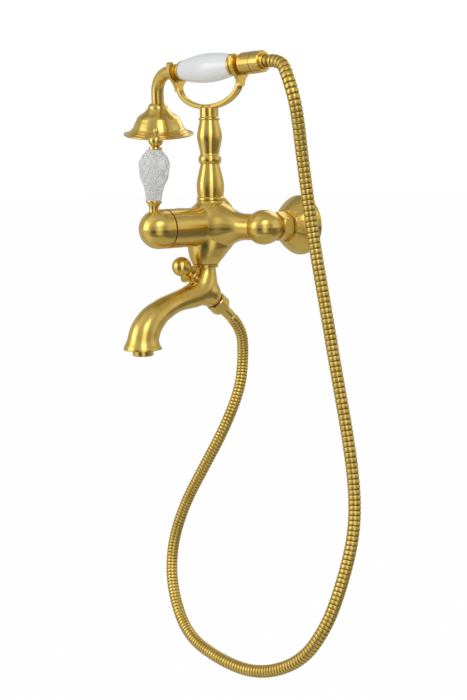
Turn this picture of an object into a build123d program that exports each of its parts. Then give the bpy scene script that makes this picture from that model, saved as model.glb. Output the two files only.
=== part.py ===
from build123d import *
import math
import os

os.makedirs("parts", exist_ok=True)

# Bath mixer with hand shower. Origin on the wall, midway between the two inlets.
# X runs along the wall, -Y points out of the wall, +Z is up. All sizes in millimetres.

# Clearances
fit = 0.1
running = 0.3
seam = 0.3

# Layout
inlet_spacing = 150.0
column_reach = 78.3
egg_reach = 62.9
inlet_x = inlet_spacing / 2

# Wall fittings
wall_thread_r = 10.48
wall_thread_length = 13.0
union_thread_r = 13.2
union_end = 32.3
union_bore_r = 7.5
rosette_r = 36.0
rosette_hub_r = 19.5
rosette_depth = 25.0
rosette_rim = 1.6
rosette_wall = 1.5
nut_flats = 30.5
nut_back = rosette_depth + 0.4
nut_front = 41.0
nut_shoulder = 3.8
washer_thickness = 2.1
strainer_depth = 4.3

# Valve body
egg_r = 20.5
egg_back_r = 15.0
egg_back = 44.5
body_neck_r = 13.0
tail_r = 10.3
tail_flange_r = 12.2
arm_end_r = 15.8
arm_bore_r = 5.0
hub_r = 30.0
boss_r = 16.6
boss_top = 30.4
outlet_reach = 88.5
outlet_r = 16.4
outlet_bottom = -44.8
outlet_bore_r = 8.5

# Valve housing and cartridge
housing_r = 23.2
housing_front = 150.4
housing_wall = 0.9
lip_depth = 9.0
cartridge_flange_r = 19.5
cartridge_r = 17.8
cartridge_floor = 118.0
cartridge_shoulder = 134.0
cartridge_seal = 1.2
ring_r = 21.0
neck_r = 14.5
neck_bore_r = 11.2
neck_length = 10.0
inlet_port_x = 10.0
outlet_port_z = -13.0
port_r = 3.5
fixed_disc_thickness = 4.0
moving_disc_r = 9.3
moving_disc_thickness = 4.0

# Lever handle
dome_r = housing_r - 0.1
dome_wall = 2.1
pivot_reach = 161.0
skirt_back = 151.0
lift_angle = 20.0
spindle_side = 8.0
spindle_tail = 20.0
disc_travel = spindle_tail * math.sin(math.radians(lift_angle))
cavity_r = moving_disc_r + disc_travel + 0.66
spindle_tip = 5.2
spindle_front = 14.6
pin_r = 1.6
ear_thickness = 3.8
ear_r = 4.2
socket_r = 9.0
grub_r = 2.5
lever_lean = 4.0
lever_reach = 169.0
rod_r = 2.5
cup_top_r = 9.2
cup_base_r = 5.2
crystal_base = 32.6
crystal_top = 91.6
crystal_r = 18.7
crystal_waist_r = 9.2
crystal_neck_r = 7.7
finial_ball_r = 8.5
finial_ball_z = 101.9
finial_tip_z = 117.8

# Column and cradle
stud_r = 4.0
column_foot_r = 16.8
column_lower_r = 16.5
column_waist_r = 11.5
column_waist_z = 74.4
column_ball_r = 13.9
column_ball_z = 80.1
column_upper_r = 15.05
column_top_z = 139.4
column_neck_r = 11.3
cradle_half_width = 53.6
cradle_bar = 5.6
cradle_width = 9.0
cradle_round = 1.5
cradle_bottom = 142.3
cradle_centre = 169.0
fork_x = 55.5
fork_thickness = 5.2
fork_top = 198.0
fork_half_width = 17.0
handset_z = 187.5

# Handset
handset_roll = 7.0
handset_neck_r = 9.3
handset_tube_r = 6.0
handset_bore_r = 5.0
grip_left = -44.1
grip_right = 43.1
grip_end_r = 12.1
grip_r = 16.9
grip_wall_gap = 0.3
ferrule_r = 12.4
tail_flange_width = 3.3
tail_x = 60.8
tail_end_x = 80.1
handset_tail_r = 12.5
thread_r = 10.2
thread_length = 9.0
seam_ring = 0.8
goose_x = -74.5
goose_r = 7.9
goose_bend = 26.0
bell_tilt = 8.0
bell_start = 35.6
bell_r = 44.7
bell_wall = 1.8
bell_depth = 39.8
plate_r = 35.2
plate_back = 34.8
plate_thickness = 1.8

# Spout
spout_wall = 4.5
channel_limit_r = 10.4
spigot_r = 8.4
spigot_bore_r = 6.0
spigot_length = 11.0
spout_ring_r = 15.7
spout_ring_height = 4.1
spout_seal = 0.5
lip_reach = 189.0
lip_z = -138.3
aerator_r = 12.3
aerator_thread_r = 11.2
aerator_thread_length = 8.8
aerator_drop = 7.6
aerator_bore_r = 9.4

# Diverter and hose outlet share one sloping axis through the spout's elbow
valve_reach = 75.0
valve_z = -90.8
valve_slope = 40.7
outlet_boss_r = 10.8
valve_seat = 8.0
chamber_r = 8.2
valve_travel = 8.0
chamber_top = valve_seat + valve_travel + 14.0
bonnet_seat = 42.5
bonnet_r = 6.4
bonnet_thread_r = 5.1
bonnet_top = 51.9
knob_base = 52.5
knob_disc_r = 12.4
knob_ball_r = 11.8
knob_ball_h = 68.4
stem_r = 2.5

# Hose and its end fittings
hose_r = 7.25
hose_bore_r = 4.0
hose_root_r = 6.45
hose_ribs = 196
hose_nut_r = 12.5
hose_nut_length = 12.7
hose_nut_end = 2.1
hose_washer = 0.9
collet_r = 8.7
collet_end_x = 97.4
lower_nut_flats = 23.4
lower_nut_corner_r = 12.9
lower_nut_length = 15.0
lower_collet_r = 6.9
lower_collet_length = 18.0

# Planes that the pieces are turned about
inlet_planes = {}
for side, sign in (("left", -1), ("right", 1)):
    inlet_planes[side] = Plane(origin=(sign * inlet_x, 0, 0), x_dir=(1, 0, 0), z_dir=(0, -1, 0))
front_plane = Plane(origin=(0, 0, 0), x_dir=(1, 0, 0), z_dir=(0, -1, 0))
column_plane = Plane(origin=(0, -column_reach, 0))
outlet_plane = Plane(origin=(0, -outlet_reach, 0))
lean = math.radians(lever_lean)
lever_plane = Plane(
    origin=(0, -lever_reach, 0), x_dir=(1, 0, 0), z_dir=(0, math.sin(lean), math.cos(lean))
)
roll = math.radians(handset_roll)
handset_plane = Plane(
    origin=(0, -column_reach, handset_z), x_dir=(1, 0, 0), z_dir=(0, -math.cos(roll), -math.sin(roll))
)
grip_plane = Plane(origin=(0, -column_reach, handset_z), x_dir=(0, 1, 0), z_dir=(1, 0, 0))
slope = math.radians(valve_slope)
valve_plane = Plane(
    origin=(0, -valve_reach, valve_z), x_dir=(1, 0, 0), z_dir=(0, -math.cos(slope), math.sin(slope))
)
lip_plane = Plane(origin=(0, -lip_reach, 0))


def turned(plane, start, *steps, mode=Mode.ADD):
    """Turn a closed outline of (radius, height) points about the plane's own Z axis.

    A single point is a straight step, a list of two points is an arc through the first of
    them, and a longer list is a smooth curve.
    """
    side = Plane(origin=plane.origin, x_dir=plane.x_dir, z_dir=-plane.y_dir)
    with BuildSketch(side) as profile:
        with BuildLine():
            here = start
            for step in steps:
                if isinstance(step, list) and len(step) == 2:
                    ThreePointArc(here, *step)
                    here = step[-1]
                elif isinstance(step, list):
                    Spline(here, *step)
                    here = step[-1]
                else:
                    Line(here, step)
                    here = step
            Line(here, start)
        make_face()
    revolve(profile.sketch, axis=Axis(plane.origin, plane.z_dir), mode=mode)


def rod(plane, radius, low, high, mode=Mode.ADD):
    """A round bar, or with mode a round hole, along the plane's Z axis."""
    with BuildSketch(plane.offset(low)) as section:
        Circle(radius)
    extrude(section.sketch, amount=high - low, mode=mode)


def tube(plane, outer, inner, low, high):
    """A plain ring or tube along the plane's Z axis."""
    with BuildSketch(plane.offset(low)) as section:
        Circle(outer)
        Circle(inner, mode=Mode.SUBTRACT)
    extrude(section.sketch, amount=high - low)


def hexagon(plane, flats, low, high, turn=0.0):
    """A hexagonal bar, by its width across flats."""
    with BuildSketch(plane.offset(low)) as section:
        RegularPolygon(radius=flats / 2, side_count=6, major_radius=False, rotation=turn)
    extrude(section.sketch, amount=high - low)


def round_corners(plane, corner_r, flats, low, high):
    """Take the sharp corners off a hexagon with a chamfered cylinder."""
    bevel = corner_r - flats / 2
    turned(
        plane,
        (0, low),
        (flats / 2, low),
        (corner_r, low + bevel),
        (corner_r, high - bevel),
        (flats / 2, high),
        (0, high),
        mode=Mode.INTERSECT,
    )


def finish(piece, name):
    """Label a finished piece and write its file."""
    piece.part.label = name
    export_step(piece.part, f"parts/{name}.step")


# Wall fittings, one set for each inlet
rosette_bore_r = union_thread_r + 0.4
tail_flange_back = union_end + washer_thickness
tail_flange_front = nut_front - nut_shoulder - 0.2
strainer_r = union_bore_r + 0.6

for side, plane in inlet_planes.items():
    with BuildPart() as wall_rosette:
        turned(
            plane,
            (rosette_bore_r, rosette_depth),
            (rosette_hub_r - 0.6, rosette_depth),
            (rosette_hub_r, rosette_depth - 0.8),
            [
                ((rosette_hub_r + rosette_r) / 2 + 0.9, rosette_depth / 2 + 1.3),
                (rosette_r, rosette_rim),
            ],
            (rosette_r, 0),
            (rosette_r - rosette_rim, 0),
            [
                ((rosette_hub_r + rosette_r) / 2 - 0.3, rosette_depth / 2 - 0.1),
                (rosette_hub_r - rosette_wall, rosette_depth - rosette_wall),
            ],
            (rosette_bore_r, rosette_depth - rosette_wall),
        )
    finish(wall_rosette, f"wall_rosette_{side}")

    with BuildPart() as wall_union:
        turned(
            plane,
            (union_bore_r, -wall_thread_length),
            (wall_thread_r - 0.6, -wall_thread_length),
            (wall_thread_r, -wall_thread_length + 0.6),
            (wall_thread_r, 0),
            (wall_thread_r - 0.4, 0.4),
            (wall_thread_r - 0.4, 2),
            (union_thread_r - 1.2, 3.5),
            (union_thread_r - 1.2, 10),
            (union_thread_r, 11.2),
            (union_thread_r, union_end - 0.6),
            (union_thread_r - 0.6, union_end),
            (strainer_r + fit, union_end),
            (strainer_r + fit, union_end - strainer_depth),
            (union_bore_r, union_end - strainer_depth),
        )
    finish(wall_union, f"wall_union_{side}")

    with BuildPart() as union_nut:
        hexagon(plane, nut_flats, nut_back, nut_front, turn=30)
        round_corners(plane, nut_flats / 2 * 1.135, nut_flats, nut_back, nut_front)
        rod(plane, union_thread_r + fit, nut_back, nut_front - nut_shoulder, Mode.SUBTRACT)
        rod(plane, tail_r + seam, nut_front - nut_shoulder, nut_front, Mode.SUBTRACT)
    finish(union_nut, f"union_nut_{side}")

    with BuildPart() as union_washer:
        tube(plane, union_thread_r - 0.4, strainer_r + 0.1, union_end, tail_flange_back)
    finish(union_washer, f"union_washer_{side}")

    with BuildPart() as inlet_strainer:
        rod(plane, strainer_r, union_end - strainer_depth, union_end)
        rod(plane, strainer_r - 0.9, union_end - strainer_depth + 0.9, union_end, Mode.SUBTRACT)
        with BuildSketch(plane.offset(union_end - strainer_depth)):
            Circle(1.0)
            with PolarLocations(3.0, 6):
                Circle(1.0)
            with PolarLocations(5.6, 12):
                Circle(0.9)
        extrude(amount=0.9, mode=Mode.SUBTRACT)
    finish(inlet_strainer, f"inlet_strainer_{side}")

# Valve body: two arms, the hub, the cartridge housing and the outlet, with its waterways
half = math.sqrt(0.5)
arm_length = math.hypot(inlet_x, column_reach - egg_reach)
neck_hole_r = ring_r + fit
lip_r = housing_r - housing_wall
lip_back = housing_front - lip_depth

with BuildPart() as valve_body:
    hub_rings = (
        (outlet_bottom, outlet_reach, outlet_r),
        (outlet_bottom + 4.6, outlet_reach - 1.3, outlet_r + 2.9),
        (outlet_bottom + 9.8, outlet_reach - 3.1, outlet_r + 5.8),
        (outlet_bottom + 14.8, column_reach + 5.0, hub_r - 5.2),
        (outlet_bottom + 21.8, column_reach + 2.0, hub_r - 1.8),
        (-10.0, column_reach, hub_r),
        (5.0, column_reach, hub_r),
        (14.0, column_reach, hub_r - 1.5),
        (boss_top - 9.4, column_reach, hub_r - 5.5),
        (boss_top - 4.4, column_reach, boss_r + 3.4),
        (boss_top - 1.4, column_reach, boss_r + 0.6),
        (boss_top, column_reach, boss_r),
    )
    for height, reach, radius in hub_rings:
        with BuildSketch(Plane(origin=(0, -reach, height))):
            Circle(radius)
    loft()
    turned(
        front_plane,
        (0, column_reach),
        (hub_r - 0.5, column_reach),
        [
            (hub_r - 1.5, column_reach + 10),
            (housing_r + 2.8, column_reach + 17),
            (housing_r + 0.7, column_reach + 23),
            (housing_r, column_reach + 30),
        ],
        (housing_r, housing_front),
        (0, housing_front),
    )
    for side, plane in inlet_planes.items():
        sign = -1 if side == "left" else 1
        arm_plane = Plane(
            origin=(0, -column_reach, 0),
            x_dir=(0, 0, 1),
            z_dir=(sign * inlet_x, column_reach - egg_reach, 0),
        )
        turned(
            arm_plane,
            (0, 0),
            (hub_r - 1.5, 0),
            [
                (hub_r - 3.5, 22),
                (arm_end_r + 5.7, 31),
                (arm_end_r + 1.7, 41),
                (arm_end_r, 52),
            ],
            (arm_end_r - 0.2, arm_length - 8),
            (0, arm_length - 8),
        )
        egg_back_length = (egg_reach - egg_back) / math.sqrt(1 - (egg_back_r / egg_r) ** 2)
        egg_curve = [
            (egg_r * math.sqrt(1 - ((egg_reach - reach) / egg_back_length) ** 2), reach)
            for reach in (egg_back + 2, egg_back + 6, egg_back + 12, egg_reach)
        ]
        turned(
            plane,
            (0, tail_flange_back),
            (tail_flange_r, tail_flange_back),
            (tail_flange_r, tail_flange_front),
            (tail_r, tail_flange_front),
            (tail_r, nut_front + seam),
            (body_neck_r, nut_front + seam),
            (body_neck_r, egg_back),
            (egg_back_r - 0.5, egg_back),
            egg_curve,
            [(egg_r * half, egg_reach + egg_r * half), (0, egg_reach + egg_r)],
        )
    for side, plane in inlet_planes.items():
        sign = -1 if side == "left" else 1
        arm_plane = Plane(
            origin=(0, -column_reach, 0),
            x_dir=(0, 0, 1),
            z_dir=(sign * inlet_x, column_reach - egg_reach, 0),
        )
        rod(plane, union_bore_r, tail_flange_back, egg_reach + 3, Mode.SUBTRACT)
        rod(arm_plane, arm_bore_r, inlet_port_x - 3, arm_length, Mode.SUBTRACT)
        port_plane = Plane(origin=(sign * inlet_port_x, 0, 0), x_dir=(1, 0, 0), z_dir=(0, -1, 0))
        rod(port_plane, port_r + 0.5, column_reach - 3, cartridge_floor, Mode.SUBTRACT)
    drain_plane = Plane(origin=(0, 0, outlet_port_z), x_dir=(1, 0, 0), z_dir=(0, -1, 0))
    rod(drain_plane, port_r + 0.5, outlet_reach, cartridge_floor, Mode.SUBTRACT)
    rod(outlet_plane, outlet_bore_r, outlet_bottom, outlet_port_z + 1, Mode.SUBTRACT)
    rod(front_plane, cartridge_flange_r + 0.2, cartridge_floor, housing_front, Mode.SUBTRACT)
    rod(front_plane, neck_hole_r, cartridge_shoulder, housing_front, Mode.SUBTRACT)
    rod(front_plane, lip_r, lip_back, housing_front, Mode.SUBTRACT)
    rod(column_plane, stud_r, boss_top - 12, boss_top, Mode.SUBTRACT)
finish(valve_body, "valve_body")

# Cartridge
cartridge_base = cartridge_floor + cartridge_seal
disc_back = cartridge_base + 8.8
moving_back = disc_back + fixed_disc_thickness + running
carrier_back = moving_back + moving_disc_thickness
tip_reach = pivot_reach - spindle_tail
carrier_front = tip_reach + 1.6
cavity_front = carrier_front + running
neck_base = cavity_front + 0.9
neck_front = neck_base + neck_length

with BuildPart() as cartridge_body:
    turned(
        front_plane,
        (0, cartridge_base),
        (cartridge_flange_r, cartridge_base),
        (cartridge_flange_r, cartridge_shoulder),
        (cartridge_r, cartridge_shoulder),
        (cartridge_r, neck_base),
        (neck_r, neck_base),
        (neck_r, neck_front),
        (neck_bore_r, neck_front),
        (neck_bore_r, cavity_front),
        (cavity_r, cavity_front),
        (cavity_r, disc_back),
        (0, disc_back),
    )
    with BuildSketch(front_plane.offset(cartridge_base)):
        with Locations((-inlet_port_x, 0), (inlet_port_x, 0), (0, outlet_port_z)):
            Circle(port_r)
    extrude(amount=disc_back - cartridge_base, mode=Mode.SUBTRACT)
finish(cartridge_body, "cartridge_body")

with BuildPart() as cartridge_seals:
    with BuildSketch(front_plane.offset(cartridge_floor)):
        with Locations((-inlet_port_x, 0), (inlet_port_x, 0), (0, outlet_port_z)):
            Circle(port_r + 2.1)
            Circle(port_r + 0.6, mode=Mode.SUBTRACT)
    extrude(amount=cartridge_seal)
finish(cartridge_seals, "cartridge_seals")

with BuildPart() as retaining_ring:
    tube(front_plane, ring_r, cartridge_r + fit, cartridge_shoulder, lip_back - 0.2)
    with BuildSketch(front_plane.offset(lip_back - 3)):
        with PolarLocations((ring_r + cartridge_r) / 2, 4):
            Rectangle(6, 4)
    extrude(amount=3, mode=Mode.SUBTRACT)
finish(retaining_ring, "retaining_ring")

with BuildPart() as fixed_disc:
    rod(front_plane, cavity_r - 0.2, disc_back, disc_back + fixed_disc_thickness)
    with BuildSketch(front_plane.offset(disc_back)):
        with Locations((-inlet_port_x, 0), (inlet_port_x, 0), (0, outlet_port_z + 2)):
            Circle(port_r - 0.3)
    extrude(amount=fixed_disc_thickness, mode=Mode.SUBTRACT)
finish(fixed_disc, "ceramic_disc_fixed")

with BuildPart() as moving_disc:
    rod(front_plane, moving_disc_r, moving_back, carrier_back)
    with BuildSketch(front_plane.offset(moving_back)):
        SlotOverall(moving_disc_r * 1.5, moving_disc_r * 0.8)
    extrude(amount=moving_disc_thickness / 2, mode=Mode.SUBTRACT)
finish(moving_disc, "ceramic_disc_moving")

with BuildPart() as disc_carrier:
    rod(front_plane, moving_disc_r - 0.3, carrier_back, carrier_front)
    with BuildSketch(front_plane.offset(tip_reach - 0.5)):
        Rectangle(spindle_tip + 0.8, spindle_tip + 1.6)
    extrude(amount=carrier_front - tip_reach + 0.5, mode=Mode.SUBTRACT)
finish(disc_carrier, "disc_carrier")

# Rotor, pin and spindle
slot_half = spindle_side / 2 + running + fit
rotor_r = neck_bore_r - running
rotor_front = neck_front - 1.0
rotor_back = cavity_front + running
pivot_plane = Plane(origin=(0, -pivot_reach, 0), x_dir=(0, -1, 0), z_dir=(1, 0, 0))

with BuildPart() as rotor:
    rod(front_plane, rotor_r, rotor_back, rotor_front)
    for sign in (-1, 1):
        ear_start = slot_half if sign == 1 else -slot_half - ear_thickness
        with BuildSketch(pivot_plane.offset(ear_start)):
            Circle(ear_r)
            with Locations(((rotor_front - pivot_reach - 2) / 2, 0)):
                Rectangle(pivot_reach - rotor_front + 2, 2 * ear_r)
        extrude(amount=ear_thickness)
    with BuildSketch(front_plane.offset(rotor_back)):
        with Locations((0, (rotor_r + 1 - spindle_side / 2 - 1) / 2)):
            Rectangle(2 * slot_half, rotor_r + 1 + spindle_side / 2 + 1)
    extrude(amount=rotor_front - rotor_back, mode=Mode.SUBTRACT)
    rod(pivot_plane, pin_r + fit / 2, -rotor_r, rotor_r, Mode.SUBTRACT)
finish(rotor, "cartridge_rotor")

with BuildPart() as pivot_pin:
    rod(pivot_plane, pin_r, -slot_half - ear_thickness, slot_half + ear_thickness)
finish(pivot_pin, "pivot_pin")

with BuildPart() as spindle:
    with BuildSketch(front_plane.offset(pivot_reach - 13)):
        Rectangle(spindle_side, spindle_side)
    extrude(amount=13 + spindle_front)
    with BuildSketch(front_plane.offset(tip_reach)):
        Rectangle(spindle_tip, spindle_tip)
    extrude(amount=spindle_tail - 13)
    rod(pivot_plane, pin_r + fit, -spindle_side, spindle_side, Mode.SUBTRACT)
finish(spindle, "spindle")

# Dome handle, turned and lifted about the pin
dome_inner_r = dome_r - dome_wall
swing_r = math.hypot(pivot_reach - housing_front, lip_r) - running
skirt_round = pivot_reach - math.sqrt(swing_r**2 - dome_r**2)
grub_reach = pivot_reach + 9.5

dome_outside = (
    (0, skirt_back),
    (dome_r - 1.2, skirt_back),
    [(dome_r - 0.45, skirt_back + 0.75), (dome_r, skirt_round)],
    (dome_r, pivot_reach),
    [(dome_r * half, pivot_reach + dome_r * half), (0, pivot_reach + dome_r)],
)

with BuildPart() as dome_handle:
    turned(front_plane, *dome_outside)
    turned(
        front_plane,
        (0, skirt_back),
        (dome_inner_r, skirt_back),
        (dome_inner_r, pivot_reach),
        [
            (dome_inner_r * half, pivot_reach + dome_inner_r * half),
            (0, pivot_reach + dome_inner_r),
        ],
        mode=Mode.SUBTRACT,
    )
    rod(front_plane, socket_r, pivot_reach + ear_r + running, pivot_reach + dome_inner_r - 1)
    rod(lever_plane, rod_r + 3.5, socket_r + 3, dome_r)
    turned(front_plane, *dome_outside, mode=Mode.INTERSECT)
    with BuildSketch(front_plane.offset(pivot_reach)):
        Rectangle(spindle_side + 2 * fit, spindle_side + 2 * fit)
    extrude(amount=spindle_front + fit, mode=Mode.SUBTRACT)
    rod(lever_plane, rod_r + fit, socket_r + 4, dome_r + 4, Mode.SUBTRACT)
    grub_plane = Plane(origin=(0, -grub_reach, 0), x_dir=(1, 0, 0), z_dir=(0, 0, -1))
    rod(grub_plane, grub_r + fit, 0, dome_r, Mode.SUBTRACT)
finish(dome_handle, "dome_handle")

with BuildPart() as grub_screw:
    rod(grub_plane, grub_r, spindle_side / 2, socket_r + 0.5)
    with BuildSketch(grub_plane.offset(socket_r - 1.5)):
        RegularPolygon(radius=1.25, side_count=6, major_radius=False)
    extrude(amount=2, mode=Mode.SUBTRACT)
finish(grub_screw, "grub_screw")

# Lever: cup, crystal and finial drawn together by a tie rod
cup_base = math.sqrt(dome_r**2 - (lever_reach - pivot_reach) ** 2) + 0.4

with BuildPart() as lever_cup:
    turned(
        lever_plane,
        (rod_r + fit, cup_base - 4),
        (cup_base_r, cup_base - 4),
        (cup_base_r, cup_base),
        [
            (cup_base_r + 0.4, cup_base + 3),
            (cup_base_r + 1.6, cup_base + 6.2),
            (cup_top_r, crystal_base - 1.2),
        ],
        (cup_top_r, crystal_base),
        (rod_r + fit, crystal_base),
    )
    with Locations((0, -pivot_reach, 0)):
        Sphere(dome_r + fit, mode=Mode.SUBTRACT)
finish(lever_cup, "lever_cup")

with BuildPart() as lever_crystal:
    turned(
        lever_plane,
        (rod_r + 0.3, crystal_base),
        (crystal_waist_r, crystal_base),
        [
            (crystal_waist_r + 0.4, crystal_base + 6),
            (crystal_waist_r + 3.2, crystal_base + 16),
            (crystal_r - 2.6, crystal_base + 28),
            (crystal_r, crystal_base + 40.3),
            (crystal_r - 3.6, crystal_top - 7.5),
            (crystal_neck_r, crystal_top),
        ],
        (rod_r + 0.3, crystal_top),
    )
finish(lever_crystal, "lever_crystal")

with BuildPart() as lever_finial:
    ball_foot = finial_ball_z - 6.4
    ball_head = finial_ball_z + 6.4
    turned(
        lever_plane,
        (0, crystal_top + 8),
        (rod_r + fit, crystal_top + 8),
        (rod_r + fit, crystal_top),
        (crystal_neck_r, crystal_top),
        (crystal_neck_r, crystal_top + 2.4),
        (finial_ball_r * 0.5, ball_foot),
        [(finial_ball_r, finial_ball_z), (finial_ball_r * 0.33, ball_head)],
        (2.3, ball_head + 0.6),
        [(3.35, (ball_head + finial_tip_z) / 2), (0.9, finial_tip_z)],
        (0, finial_tip_z),
    )
finish(lever_finial, "lever_finial")

with BuildPart() as lever_rod:
    rod(lever_plane, rod_r, socket_r + 4.2, crystal_top + 7.8)
finish(lever_rod, "lever_rod")

# Column
lower_foot = boss_top + seam

with BuildPart() as column_lower:
    turned(
        column_plane,
        (stud_r + fit, lower_foot),
        (column_foot_r - 0.6, lower_foot),
        [(column_foot_r + 0.3, lower_foot + 2.2), (column_foot_r - 0.6, lower_foot + 4.4)],
        (column_foot_r - 1.2, lower_foot + 4.9),
        (column_foot_r - 1.2, lower_foot + 5.3),
        [
            (column_lower_r, lower_foot + 12),
            (column_lower_r - 0.1, lower_foot + 22),
            (column_lower_r - 2.0, column_waist_z - 12.3),
            (column_waist_r + 0.7, column_waist_z - 2.7),
            (column_waist_r, column_waist_z),
        ],
        (stud_r + fit, column_waist_z),
    )
finish(column_lower, "column_lower")

with BuildPart() as column_upper:
    turned(
        column_plane,
        (stud_r + fit, column_waist_z + 0.1),
        (column_waist_r, column_waist_z + 0.1),
        (column_waist_r + 0.9, column_ball_z - 4.8),
        [(column_ball_r, column_ball_z), (column_waist_r + 0.7, column_ball_z + 5)],
        (column_waist_r, column_ball_z + 6.9),
        [
            (column_waist_r + 1.6, column_ball_z + 15.2),
            (column_upper_r, column_ball_z + 27.5),
            (column_upper_r - 1.3, column_top_z - 22.8),
            (column_neck_r + 0.1, column_top_z - 13.2),
        ],
        [(column_neck_r + 1.6, column_top_z - 11.4), (column_neck_r + 0.1, column_top_z - 9.6)],
        (column_neck_r - 0.2, column_top_z - 9.1),
        (column_neck_r, column_top_z),
        (stud_r + fit, column_top_z),
    )
finish(column_upper, "column_upper")

stud_top = cradle_bottom + 0.7
with BuildPart() as column_stud:
    rod(column_plane, stud_r - fit, boss_top - 11.5, stud_top)
finish(column_stud, "column_stud")

# Cradle: a half ellipse of flat bar with a fork at each end
wall_side_plane = Plane(origin=(0, -column_reach, 0), x_dir=(1, 0, 0), z_dir=(0, -1, 0))
bar_half = cradle_bar / 2
slot_r = handset_neck_r + 0.4

with BuildPart() as cradle:
    with BuildSketch(wall_side_plane.offset(-cradle_width / 2)):
        with Locations((0, cradle_centre)):
            Ellipse(cradle_half_width + bar_half, cradle_centre - cradle_bottom + bar_half)
            Ellipse(
                cradle_half_width - bar_half,
                cradle_centre - cradle_bottom - bar_half,
                mode=Mode.SUBTRACT,
            )
        with Locations((0, cradle_centre + 50)):
            Rectangle(4 * cradle_half_width, 100, mode=Mode.SUBTRACT)
    extrude(amount=cradle_width)
    fillet(cradle.edges().filter_by(GeomType.ELLIPSE), radius=cradle_round)
    for sign in (-1, 1):
        fork_plane = Plane(
            origin=(sign * fork_x - fork_thickness / 2, -column_reach, 0),
            x_dir=(0, 1, 0),
            z_dir=(1, 0, 0),
        )
        with BuildSketch(fork_plane):
            with BuildLine():
                Polyline(
                    (-slot_r, handset_z),
                    (-slot_r, fork_top),
                    (-fork_half_width, fork_top),
                    (-fork_half_width, handset_z + 1),
                )
                Spline(
                    (-fork_half_width, handset_z + 1),
                    (-fork_half_width + 2.4, handset_z - 7),
                    (-cradle_width / 2 - 2, cradle_centre + 2),
                    (-cradle_width / 2, cradle_centre - 6),
                )
                Line((-cradle_width / 2, cradle_centre - 6), (cradle_width / 2, cradle_centre - 6))
                Spline(
                    (cradle_width / 2, cradle_centre - 6),
                    (cradle_width / 2 + 2, cradle_centre + 2),
                    (fork_half_width - 2.4, handset_z - 7),
                    (fork_half_width, handset_z + 1),
                )
                Polyline(
                    (fork_half_width, handset_z + 1),
                    (fork_half_width, fork_top),
                    (slot_r, fork_top),
                    (slot_r, handset_z),
                )
                ThreePointArc((slot_r, handset_z), (0, handset_z - slot_r), (-slot_r, handset_z))
            make_face()
        extrude(amount=fork_thickness)
    tips = cradle.edges().filter_by(Axis.X).filter_by_position(Axis.Z, fork_top - 1, fork_top + 1)
    fillet(tips, radius=(fork_half_width - slot_r) * 0.42)
    turned(
        column_plane,
        (0, column_top_z),
        (column_neck_r - 0.2, column_top_z),
        (column_neck_r - 0.2, column_top_z + 1.2),
        (cradle_width, cradle_bottom + 1.7),
        (0, cradle_bottom + 1.7),
    )
    rod(column_plane, stud_r, column_top_z, stud_top + fit, Mode.SUBTRACT)
finish(cradle, "cradle")

# Handset, turned about the grip's axis
grip_length = grip_right - grip_left
tail_flange_x = grip_right + 0.1
tail_thread_end = tail_end_x + seam_ring + thread_length

with BuildPart() as handset_tail:
    turned(
        grip_plane,
        (handset_bore_r, tail_flange_x),
        (handset_tail_r, tail_flange_x),
        (handset_tail_r, tail_flange_x + tail_flange_width),
        (handset_neck_r, tail_flange_x + tail_flange_width + 0.8),
        (handset_neck_r, tail_x - 1.2),
        (handset_tail_r - 0.8, tail_x),
        (handset_tail_r, tail_x + 0.8),
        (handset_tail_r, tail_end_x),
        (thread_r, tail_end_x),
        (thread_r, tail_thread_end),
        (handset_bore_r, tail_thread_end),
    )
    rod(grip_plane, handset_tube_r + fit, tail_flange_x, tail_flange_x + 6, Mode.SUBTRACT)
finish(handset_tail, "handset_tail")

with BuildPart() as porcelain_grip:
    turned(
        grip_plane,
        (handset_tube_r + grip_wall_gap, grip_left),
        (grip_end_r - 0.5, grip_left),
        (grip_end_r, grip_left + 0.5),
        [
            (grip_end_r + 2.9, grip_left + grip_length * 0.2),
            (grip_r, grip_left + grip_length * 0.48),
            (grip_end_r + 2.9, grip_left + grip_length * 0.8),
            (grip_end_r, grip_right - 0.5),
        ],
        (grip_end_r - 0.5, grip_right),
        (handset_tube_r + grip_wall_gap, grip_right),
    )
finish(porcelain_grip, "porcelain_grip")

with BuildPart() as handset_tube:
    tube(grip_plane, handset_tube_r, handset_bore_r, grip_left - 6, grip_right + 6)
finish(handset_tube, "handset_tube")

# Gooseneck: turned neck, then a swept bend that ends on the bell's axis
tilt = math.radians(bell_tilt)
bend_end = (
    goose_x - goose_bend * math.cos(tilt),
    -goose_bend + goose_bend * math.sin(tilt),
)
bell_top = (bend_end[0] - (bell_start + bend_end[1]) * math.tan(tilt), -bell_start)
neck_start_x = grip_left - 0.1
ferrule_back = neck_start_x - 1.8

with BuildPart() as gooseneck:
    turned(
        grip_plane,
        (handset_bore_r, neck_start_x),
        (ferrule_r, neck_start_x),
        (ferrule_r, ferrule_back),
        (handset_neck_r, ferrule_back - 1),
        (handset_neck_r, -66),
        (goose_r, -67.5),
        (goose_r, -68),
        (handset_bore_r, -68),
    )
    rod(grip_plane, handset_tube_r + fit, neck_start_x - 6, neck_start_x, Mode.SUBTRACT)
    with BuildLine(handset_plane) as goose_path:
        Line((-68, 0), (goose_x, 0))
        ThreePointArc(
            (goose_x, 0),
            (
                goose_x - goose_bend * math.sin(math.pi / 4 - tilt / 2),
                -goose_bend + goose_bend * math.cos(math.pi / 4 - tilt / 2),
            ),
            bend_end,
        )
        Line(bend_end, bell_top)
    with BuildSketch(Plane(origin=(-68, -column_reach, handset_z), z_dir=(-1, 0, 0))):
        Circle(goose_r)
        Circle(handset_bore_r, mode=Mode.SUBTRACT)
    sweep(path=goose_path.wires()[0])
finish(gooseneck, "gooseneck")

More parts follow.
